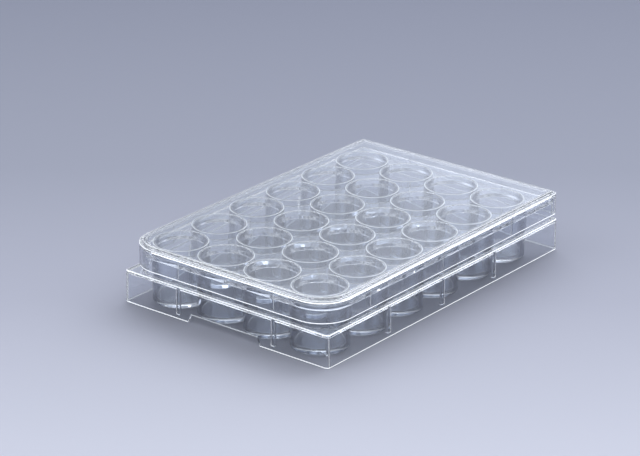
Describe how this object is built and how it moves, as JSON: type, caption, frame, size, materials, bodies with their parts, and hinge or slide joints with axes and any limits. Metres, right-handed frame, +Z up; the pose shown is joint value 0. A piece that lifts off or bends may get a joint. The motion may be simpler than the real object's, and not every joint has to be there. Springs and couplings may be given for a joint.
{
  "type": "well plate with lid",
  "caption": "Clear cell-culture well plate: round flat-bottomed wells in a grid, a stepped skirt, and a loose keyed lid over the rims.",
  "frame": {"origin": "centre of the skirt's footprint on the bench", "axes": "+X along the plate from the end with the round keyed corners to the end with the square ones, +Y across it, +Z up"},
  "size_m": [0.1278, 0.0854, 0.0217],
  "materials": {
    "plate_polystyrene": "clear crystal polystyrene, moulded to a high polish",
    "lid_polystyrene": "clear crystal polystyrene, moulded to a high polish"
  },
  "bodies": {
    "root": {"plate": "plate_polystyrene", "lid": "lid_polystyrene"}
  },
  "joints": []
}
